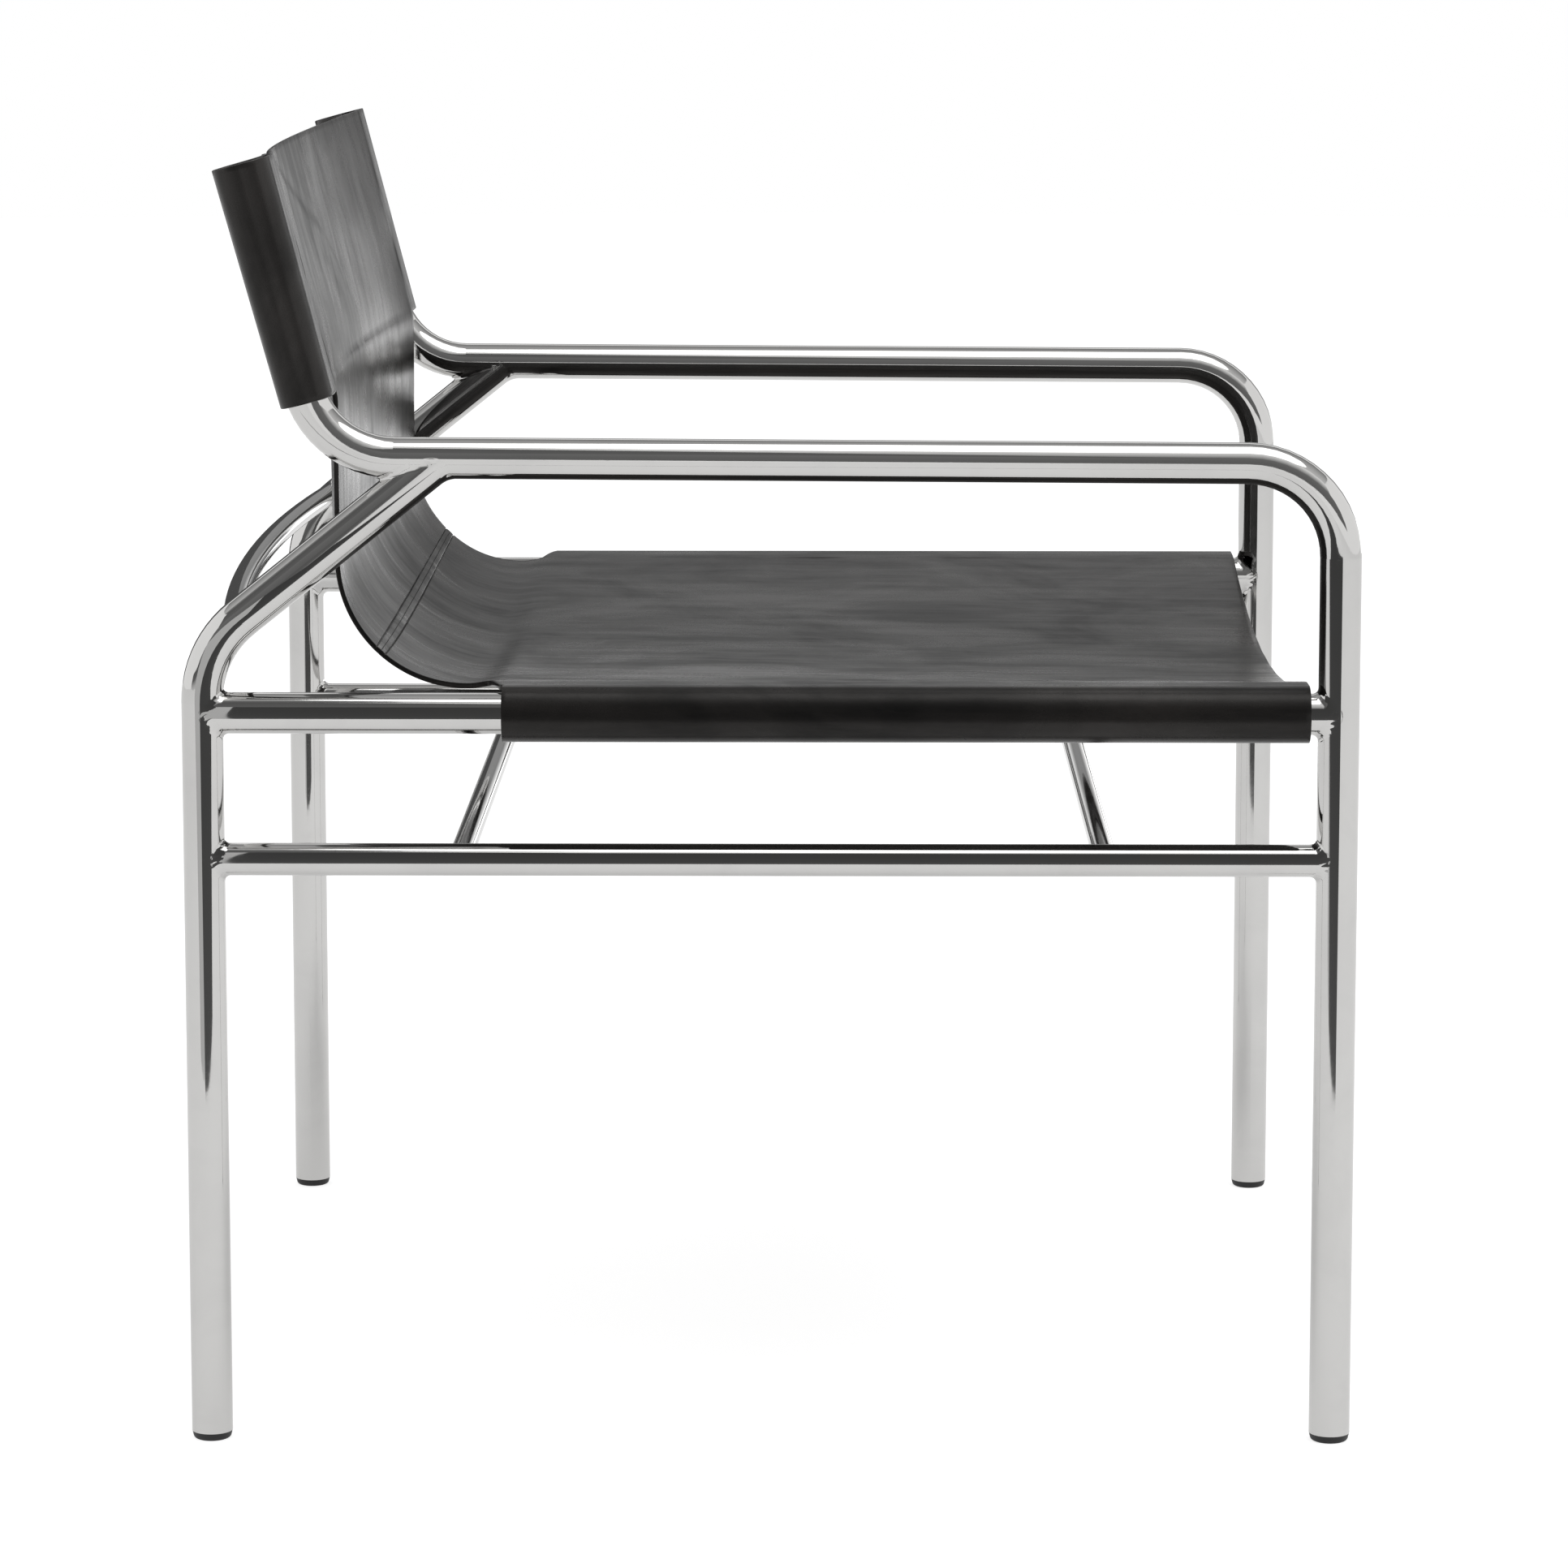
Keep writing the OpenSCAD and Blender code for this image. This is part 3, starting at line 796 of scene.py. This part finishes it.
# Each board has the two ends of its foot, the two ends of its top, and its shades from foot to top
boards = {
    "sideWall": ((-5, -6, 1.05), (-5, 6, 1.05), (-5, -6, 3.6), (-5, 6, 3.6), (0.15, 0.19)),
    "sideSlope": ((-5, -6, 3.6), (-5, -0.8, 3.6), (-2.4, -6, 4.8), (-2.4, 0.7, 4.8), (0.2, 1.0)),
    "rearSlope": ((-5, -0.8, 3.6), (-5, 6, 3.6), (-2.4, 0.7, 4.8), (-2.4, 6, 4.8), (0.15, 0.12)),
    "rearOver": ((-2.4, 0.6, 4.8), (-2.4, 6, 4.8), (-1.1, 0.6, 4.8), (-1.1, 6, 4.8), (0.12, 0.3)),
    "over": ((-2.4, -6, 4.82), (-2.4, 6, 4.82), (5, -6, 4.82), (5, 6, 4.82), (0.7, 0.2)),
    "sideLow": ((-5, 0.85, 0.02), (-5, 9, 0.02), (-5, 0.85, 0.5), (-5, 9, 0.5), (0.65, 0.12)),
    "sideMiddle": ((-5, 0.85, 0.5), (-5, 9, 0.5), (-5, 0.85, 1.05), (-5, 9, 1.05), (0.14, 0.12)),
    "farWall": ((5, -4.3, 1.1), (5, 0.9, 1.1), (5, -4.3, 3.2), (5, 0.9, 3.2), (0.27, 0.5)),
    "farFoot": ((5, -4.3, 0.65), (5, 0.9, 0.65), (5, -4.3, 1.1), (5, 0.9, 1.1), (0.95, 0.22)),
    "farGlow": ((5, -4.3, 0.3), (5, -0.7, 0.3), (5, -4.3, 0.65), (5, -0.7, 0.65), (1.7, 1.05)),
    "farBase": ((5, -4.3, 0.01), (5, -0.3, 0.01), (5, -4.3, 0.3), (5, -0.3, 0.3), (2.8, 1.9)),
    "farDim": ((4.2, -0.45, 0.25), (4.2, 0.62, 0.25), (4.2, -0.45, 0.58), (4.2, 0.62, 0.58), (0.1, 0.4)),
    "farDimFoot": ((4.2, -0.1, 0.01), (4.2, 0.62, 0.01), (4.2, -0.1, 0.25), (4.2, 0.62, 0.25), (0.1, 0.1)),
    "farDark": ((4.4, 0.9, 1.35), (4.4, 4.2, 1.35), (4.4, 0.9, 3.0), (4.4, 4.2, 3.0), (0.08, 0.12)),
    "farDarkFoot": ((4.4, 0.62, 0.05), (4.4, 4.2, 0.05), (4.4, 0.62, 1.35), (4.4, 4.2, 1.35), (0.07, 0.08)),
}

# A dark board leans from the floor towards the arm, edge on to it, so only lower tubes show it
lean = {
    "foot": 1.0,             # how far out from the arm its foot is
    "top": 0.12,             # and its top
    "front": -legY,
    "rear": 0.328,
    "lift": 0.0034,
    "spread": 0.12,          # how far each end moves out per metre from the arm
    "past": 0.45,            # width of the paler board beyond its rear end, at the foot
    "pastTopShare": 0.3,
    "shades": (0.10, 0.06),
    "pastShade": 0.56,
}


def leanCorners(reach):
    corners = []
    for y, side in ((lean["front"], -1), (lean["rear"], 1)):
        z = (armZ(y) + lean["lift"]) * (1 - reach)
        corners.append((-frameX - reach, y + side * lean["spread"] * reach, z))
    return tuple(corners)


def rayKinds(tree):
    return [addNode(tree, "ShaderNodeLightPath", output=kind)
            for kind in ("Is Camera Ray", "Is Glossy Ray", "Is Transmission Ray")]


def makeFloor():
    bpy.ops.object.select_all(action="DESELECT")
    bpy.ops.mesh.primitive_circle_add(vertices=studio["floorSides"], radius=studio["floorR"],
                                      fill_type="NGON", location=(0, 0, 0))
    floor = bpy.context.object
    floor.name = "studioFloor"
    made, tree = newFinish("paleFloor")
    camera, glossy, clear = rayKinds(tree)
    strength = (camera + clear) * studio["floorGlow"] + glossy * studio["floorGloss"]
    diffuse = addNode(tree, "ShaderNodeBsdfDiffuse", {"Color": (studio["floorShade"],) * 3 + (1,)})
    glow = addNode(tree, "ShaderNodeEmission", {"Color": (1, 1, 1, 1), "Strength": strength})
    closeFinish(tree, addNode(tree, "ShaderNodeAddShader", {0: diffuse, 1: glow}))
    wear(floor, made)


def makeBoard(name, corners, shades):
    bpy.ops.object.select_all(action="DESELECT")
    bpy.ops.mesh.primitive_plane_add(size=1, location=(0, 0, 0))
    board = bpy.context.object
    board.name = name
    for vertex, corner in zip(board.data.vertices, corners):
        vertex.co = corner
    made, tree = newFinish(name)
    place = addNode(tree, "ShaderNodeTexCoord", output="UV")
    height = addNode(tree, "ShaderNodeSeparateXYZ", {"Vector": place}, output="Y")
    shade = height * (shades[1] - shades[0]) + shades[0]
    closeFinish(tree, addNode(tree, "ShaderNodeEmission", {"Color": (1, 1, 1, 1), "Strength": shade}))
    wear(board, made)
    board.visible_camera = False
    board.visible_diffuse = False
    board.visible_shadow = False
    board.visible_transmission = False


def makeLamp(name, centre, width, power):
    data = bpy.data.lights.new(name, "AREA")
    data.shape = "DISK"
    data.size = width
    data.energy = power
    lamp = bpy.data.objects.new(name, data)
    bpy.context.scene.collection.objects.link(lamp)
    lamp.location = centre
    lamp.visible_camera = False


def makeStudio():
    world = bpy.data.worlds.new("studio")
    bpy.context.scene.world = world
    world.use_nodes = True
    tree = world.node_tree
    tree.nodes.clear()
    camera, glossy, clear = rayKinds(tree)
    strength = (camera + glossy + clear) * (1 - studio["ambient"]) + studio["ambient"]
    sky = addNode(tree, "ShaderNodeBackground", {"Color": (1, 1, 1, 1), "Strength": strength})
    addNode(tree, "ShaderNodeOutputWorld", {"Surface": sky})
    makeFloor()
    for name, facts in boards.items():
        makeBoard(name, facts[:4], facts[4])
    foot, top = leanCorners(lean["foot"]), leanCorners(lean["top"])
    makeBoard("leaningBoard", foot + top, lean["shades"])
    pastFoot = foot[1], (foot[1][0], foot[1][1] + lean["past"], foot[1][2])
    pastTop = top[1], (top[1][0], top[1][1] + lean["past"] * lean["pastTopShare"], top[1][2])
    makeBoard("leaningHaze", pastFoot + pastTop, (lean["pastShade"],) * 2)
    makeLamp("softTop", **studio["lamp"])
    bpy.context.scene.view_settings.view_transform = "Standard"
    print("studio lit")


# Weld beads: a concave fillet round each tube's end, with a hand-made bead's ripple
weld = {
    "around": 80,
    "across": 7,
    "inset": 0.0004,         # how far the bead's corner lies inside the tube's skin
    "root": 0.0012,          # depth of its closed underside
    "crown": 0.0003,
    "ripple": 0.00012,
    "ripples": 22,
    "skew": 2.2,             # how far each ripple bends back across the bead
    "lump": 0.14,            # share by which its legs vary
    "lumps": (2, 3, 7),      # swells round the tube
    "smooth": 70,            # degrees
    "seed": 11,
    "bowSeed": 50,           # added for the bowed tube's beads
    "legs": {"brace": 0.0048, "rail": 0.0046, "stretcher": 0.0042, "cross": 0.003, "bow": 0.0034},
}


def makeWeld(name, joint, mainDir, mainR, branchDir, branchR, leg, seed, offset=Vector((0, 0, 0))):
    draw = random.Random(seed)
    starts = [draw.uniform(0, 2 * math.pi) for _ in range(len(weld["lumps"]) + 1)]
    up = (mainDir - branchDir * mainDir.dot(branchDir)).normalized()
    side = branchDir.cross(up)
    branchFlat = branchDir - mainDir * branchDir.dot(mainDir)
    points, faces = [], []
    ring = weld["across"] + 2
    for i in range(weld["around"]):
        turn = 2 * math.pi * i / weld["around"]
        out = up * math.cos(turn) + side * math.sin(turn)
        start = offset + out * (branchR - weld["inset"])
        flat = start - mainDir * start.dot(mainDir)
        half = flat.dot(branchFlat)
        grow = branchFlat.dot(branchFlat)
        run = (-half + math.sqrt(half * half - grow * (flat.dot(flat) - mainR ** 2))) / grow
        corner = start + branchDir * run
        mainOut = (corner - mainDir * corner.dot(mainDir)).normalized()
        away = (out - mainOut * out.dot(mainOut)).normalized()
        both = (out + mainOut).normalized()
        swell = sum(math.sin(rate * turn + phase) for rate, phase in zip(weld["lumps"], starts))
        size = leg * (1 + weld["lump"] * swell / len(weld["lumps"]))
        onBranch = corner + branchDir * size + out * weld["inset"]
        onMain = corner + away * size
        flatMain = onMain - mainDir * onMain.dot(mainDir)
        onMain = onMain + flatMain.normalized() * (mainR - flatMain.length)
        control = corner + both * weld["crown"]
        for j in range(weld["across"] + 1):
            t = j / weld["across"]
            point = onBranch * (1 - t) ** 2 + control * 2 * t * (1 - t) + onMain * t * t
            bend = weld["skew"] * math.cos(math.pi * t)
            lift = weld["ripple"] * math.sin(weld["ripples"] * turn + bend + starts[-1])
            points.append(joint + point + both * lift * 4 * t * (1 - t))
        points.append(joint + corner - both * weld["root"])
    for i in range(weld["around"]):
        after = (i + 1) % weld["around"]
        for j in range(ring):
            beside = (j + 1) % ring
            faces.append((i * ring + j, i * ring + beside, after * ring + beside, after * ring + j))
    mesh = bpy.data.meshes.new(name)
    mesh.from_pydata(points, [], faces)
    made = bpy.data.objects.new(name, mesh)
    bpy.context.scene.collection.objects.link(made)
    finishPiece(made, weld["smooth"])
    return made


def finishPiece(piece, angle):
    selectOnly(piece)
    bpy.ops.object.mode_set(mode="EDIT")
    bpy.ops.mesh.select_all(action="SELECT")
    bpy.ops.mesh.remove_doubles(threshold=mergeGap)
    bpy.ops.mesh.normals_make_consistent(inside=False)
    bpy.ops.object.mode_set(mode="OBJECT")
    bpy.ops.object.shade_smooth_by_angle(angle=math.radians(angle))


def settle(piece, finish):
    wear(piece, finish)
    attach(piece, "root")


# The bowed tube: its ends' place along and above the brace's axis, and how far it bows back
bow = {"along": 0.030, "offset": 0.004, "depth": 0.016, "radius": 0.0075}
crossPlaces = {"Front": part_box("front_cross_tube"), "Rear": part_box("rear_cross_tube")}


def makeWelds(finish):
    braceY = legY - sideFrame["braceReach"]
    slope = sideFrame["braceSlope"]
    braceCorner = Vector((0, legY, armZ(braceY) - sideFrame["braceReach"] * sinDeg(slope) / cosDeg(slope)))
    braceDir = Vector((0, -cosDeg(slope), sinDeg(slope)))
    braceUp = Vector((0, sinDeg(slope), cosDeg(slope)))
    armDir = Vector((0, 1, armZ(1) - armZ(0))).normalized()
    upright = Vector((0, 0, 1))
    bowR = (frameX ** 2 + bow["depth"] ** 2) / (2 * bow["depth"])
    bowTurn = math.asin(frameX / bowR)
    seed = weld["seed"]
    legs = weld["legs"]
    for sideName, side in (("Left", 1), ("Right", -1)):
        x = side * frameX
        inboard = Vector((-side, 0, 0))
        jobs = {"brace": (Vector((x, braceY, armZ(braceY))), armDir, tubeR, -braceDir, tubeR, legs["brace"])}
        for endName, y in (("Front", -legY), ("Rear", legY)):
            ahead = Vector((0, -math.copysign(1, y), 0))
            jobs["rail" + endName] = (Vector((x, y, railZ)), upright, tubeR, ahead, tubeR, legs["rail"])
            jobs["stretcher" + endName] = (Vector((x, y, stretcherZ)), upright, tubeR, ahead, stretcherR,
                                           legs["stretcher"])
        for endName, (low, high) in crossPlaces.items():
            jobs["cross" + endName] = (Vector((x, (low.y + high.y) / 2, stretcherZ)), Vector((0, 1, 0)),
                                       stretcherR, inboard, (high.z - low.z) / 2, legs["cross"])
        for jobName, facts in jobs.items():
            seed += 1
            settle(makeWeld(jobName + "Weld" + sideName, *facts, seed), finish)
        bowDir = Vector((-side * math.cos(bowTurn), math.sin(bowTurn), 0))
        joint = Vector((x, 0, 0)) + braceCorner + braceDir * bow["along"]
        settle(makeWeld("bowWeld" + sideName, joint, braceDir, tubeR, bowDir, bow["radius"], legs["bow"],
                        seed + weld["bowSeed"], braceUp * bow["offset"]), finish)


# Moulded glides under the legs, and caps in the open tops of the posts
glide = {
    "height": 0.005,
    "topR": 0.0126,
    "footShare": 0.9,        # how far the foot draws in
    "round": 0.0018,
    "roundSteps": 5,
    "dishIn": 0.0035,
    "dish": 0.0008,
    "stemR": 0.0106,
    "stem": 0.018,
    "sides": 56,
    "smooth": 40,            # degrees
}
cap = {
    "height": 0.0025,
    "round": 0.0011,
    "roundSteps": 4,
    "stemR": 0.0106,
    "stem": 0.012,
    "sides": 56,
    "smooth": 40,
}


# Selects the faces or the edges that wanted() allows
def pick(piece, kind, wanted):
    mesh = bmesh.from_edit_mesh(piece.data)
    bpy.ops.mesh.select_all(action="DESELECT")
    bpy.ops.mesh.select_mode(type=kind)
    for item in mesh.faces if kind == "FACE" else mesh.edges:
        item.select_set(wanted(item))
    bmesh.update_edit_mesh(piece.data)


def makeDisc(name, radius, low, high, sides):
    bpy.ops.object.select_all(action="DESELECT")
    bpy.ops.mesh.primitive_cylinder_add(vertices=sides, radius=radius, depth=high - low,
                                        location=(0, 0, (high + low) / 2))
    disc = bpy.context.object
    disc.name = name
    bpy.ops.object.transform_apply(location=True, rotation=True, scale=True)
    bpy.ops.object.mode_set(mode="EDIT")
    return disc


def modelGlide():
    model = makeDisc("glideModel", glide["topR"], 0, glide["height"], glide["sides"])
    pick(model, "FACE", lambda f: f.normal.z < -nearLevel)
    bpy.ops.transform.resize(value=(glide["footShare"], glide["footShare"], 1))
    pick(model, "EDGE", lambda e: all(v.co.z < glide["height"] / 2 for v in e.verts))
    bpy.ops.mesh.bevel(offset=glide["round"], segments=glide["roundSteps"])
    pick(model, "FACE", lambda f: f.normal.z < -quiteLevel)
    bpy.ops.mesh.inset(thickness=glide["dishIn"])
    bpy.ops.transform.translate(value=(0, 0, glide["dish"]))
    pick(model, "FACE", lambda f: f.normal.z > nearLevel)
    bpy.ops.mesh.inset(thickness=glide["topR"] - glide["stemR"])
    bpy.ops.mesh.extrude_region_move(TRANSFORM_OT_translate={"value": (0, 0, glide["stem"])})
    finishPiece(model, glide["smooth"])
    return model


def modelCap():
    model = makeDisc("capModel", tubeR, 0, cap["height"], cap["sides"])
    pick(model, "EDGE", lambda e: all(v.co.z > cap["height"] / 2 for v in e.verts))
    bpy.ops.mesh.bevel(offset=cap["round"], segments=cap["roundSteps"])
    pick(model, "FACE", lambda f: f.normal.z < -nearLevel)
    bpy.ops.mesh.inset(thickness=tubeR - cap["stemR"])
    bpy.ops.mesh.extrude_region_move(TRANSFORM_OT_translate={"value": (0, 0, -cap["stem"])})
    finishPiece(model, cap["smooth"])
    return model


def putCopy(model, name, node, place, turn):
    piece = model.copy()
    piece.data = model.data.copy()
    piece.name = name
    bpy.context.scene.collection.objects.link(piece)
    piece.data.transform(Matrix.Translation(place) @ Matrix.Rotation(turn, 4, "X"))
    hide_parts(node)
    return piece


def makeSmallParts(finish):
    model = modelGlide()
    for node in ("front_left_glide", "front_right_glide", "rear_left_glide", "rear_right_glide"):
        low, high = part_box(node)
        words = node.split("_")
        piece = putCopy(model, "glide" + words[0].title() + words[1].title(), node,
                        Vector(((low.x + high.x) / 2, (low.y + high.y) / 2, 0)), 0)
        settle(piece, finish)
    bpy.data.objects.remove(model)
    model = modelCap()
    postEnd = backCorner + postDir * sideFrame["postLength"]
    for name, node, side in (("postCapLeft", "left_post_cap", 1), ("postCapRight", "right_post_cap", -1)):
        piece = putCopy(model, name, node, Vector((side * frameX, postEnd.x, postEnd.y)),
                        -math.radians(sideFrame["postLean"]))
        settle(piece, finish)
    bpy.data.objects.remove(model)


# The cross seam: a narrow strip let into both leathers, and its row of stitches
strip = {
    "half": 0.0033,          # half its width
    "round": 0.0005,
    "shoulder": 0.93,        # shares of the half width at which its rounded edge turns
    "shoulderDrop": 0.3,
    "level": 0.8,
    "crown": 0.4,
    "proud": 0.00015,
    "depth": 0.0008,
    "endInset": 0.0006,
    "steps": 204,
    "smooth": 50,            # degrees
}
stitch = {
    "pitch": 0.003,
    "half": 0.00105,
    "radius": 0.00028,
    "proud": 0.00012,
    "margin": 0.004,         # from the sling's edge to the last stitch
    "sides": 8,
    "rings": 6,
    "smooth": 60,            # degrees
}


def onSling(x, along, lift):
    yz = panelAt(x, along) + facing(slingLine(along)[1]) * lift
    return Vector((x, yz.x, yz.y))


def waveLift(x, along):
    return slingLift(x, along) - rebateAt(along)


def makeStrip(finish):
    side = [(1, -strip["depth"]), (1, -strip["round"]),
            (strip["shoulder"], -strip["round"] * strip["shoulderDrop"]),
            (strip["level"], 0), (strip["crown"], strip["proud"])]
    profile = [(-out, lift) for out, lift in side] + [(0, strip["proud"])] + side[::-1]
    points, faces, flat = [], [], []
    half = freeHalf - strip["endInset"]
    for i in range(strip["steps"] + 1):
        x = mix(half, -half, i / strip["steps"])
        for out, lift in profile:
            along = seamPlace + out * strip["half"]
            points.append(onSling(x, along, lift + waveLift(x, along)))
            flat.append((x, along))
    count = len(profile)
    for i in range(strip["steps"]):
        for j in range(count):
            beside = (j + 1) % count
            faces.append((i * count + j, (i + 1) * count + j, (i + 1) * count + beside, i * count + beside))
    faces.append(tuple(range(count)))
    faces.append(tuple(reversed(range(strip["steps"] * count, (strip["steps"] + 1) * count))))
    mesh = bpy.data.meshes.new("seamStrip")
    mesh.from_pydata(points, [], faces)
    layer = mesh.uv_layers.new(name="sheet")
    for loop in mesh.loops:
        layer.data[loop.index].uv = flat[loop.vertex_index]
    made = bpy.data.objects.new("seamStrip", mesh)
    bpy.context.scene.collection.objects.link(made)
    finishPiece(made, strip["smooth"])
    settle(made, finish)
    return made


def makeStitches(finish):
    bpy.ops.object.select_all(action="DESELECT")
    bpy.ops.mesh.primitive_uv_sphere_add(segments=stitch["sides"], ring_count=stitch["rings"], radius=1,
                                         location=(0, 0, 0))
    model = bpy.context.object
    shape = [v.co.copy() for v in model.data.vertices]
    shapeFaces = [tuple(f.vertices) for f in model.data.polygons]
    bpy.data.objects.remove(model)
    points, faces = [], []
    count = int((freeHalf - stitch["margin"]) / stitch["pitch"])
    front = facing(sling["seamDeg"])
    up = Vector((0, front.x, front.y))
    for lift in (strip["proud"] + stitch["proud"], -sling["thickness"] - stitch["proud"]):
        for i in range(-count, count + 1):
            x = i * stitch["pitch"]
            place = onSling(x, seamPlace, lift + waveLift(x, seamPlace) * (lift > 0))
            after = onSling(x + stitch["half"], seamPlace, lift)
            ahead = (after - onSling(x - stitch["half"], seamPlace, lift)).normalized()
            beside = ahead.cross(up).normalized()
            first = len(points)
            points += [place + ahead * v.z * stitch["half"] + up * v.x * stitch["radius"]
                       + beside * v.y * stitch["radius"] for v in shape]
            faces += [tuple(first + k for k in f) for f in shapeFaces]
    mesh = bpy.data.meshes.new("seamThread")
    mesh.from_pydata(points, [], faces)
    made = bpy.data.objects.new("seamThread", mesh)
    bpy.context.scene.collection.objects.link(made)
    finishPiece(made, stitch["smooth"])
    settle(made, finish)
    return made


makeCamera()
chromePlate = chromeFinish()
blackPlastic = plasticFinish()
for name, node in nodes.items():
    if name.endswith(("glide", "cap")):
        wear(node, blackPlastic)
    elif not name.endswith("leather"):
        wear(node, chromePlate)
makeWelds(chromePlate)
print("welds made")
makeSmallParts(blackPlastic)
print("glides and caps made")
blackLeather = leatherFinish()
seamPieces = [makeStrip(blackLeather), makeStitches(threadFinish())]
makeSling([blackLeather, edgeFinish()], seamPieces)
print("sling made")
makeStudio()
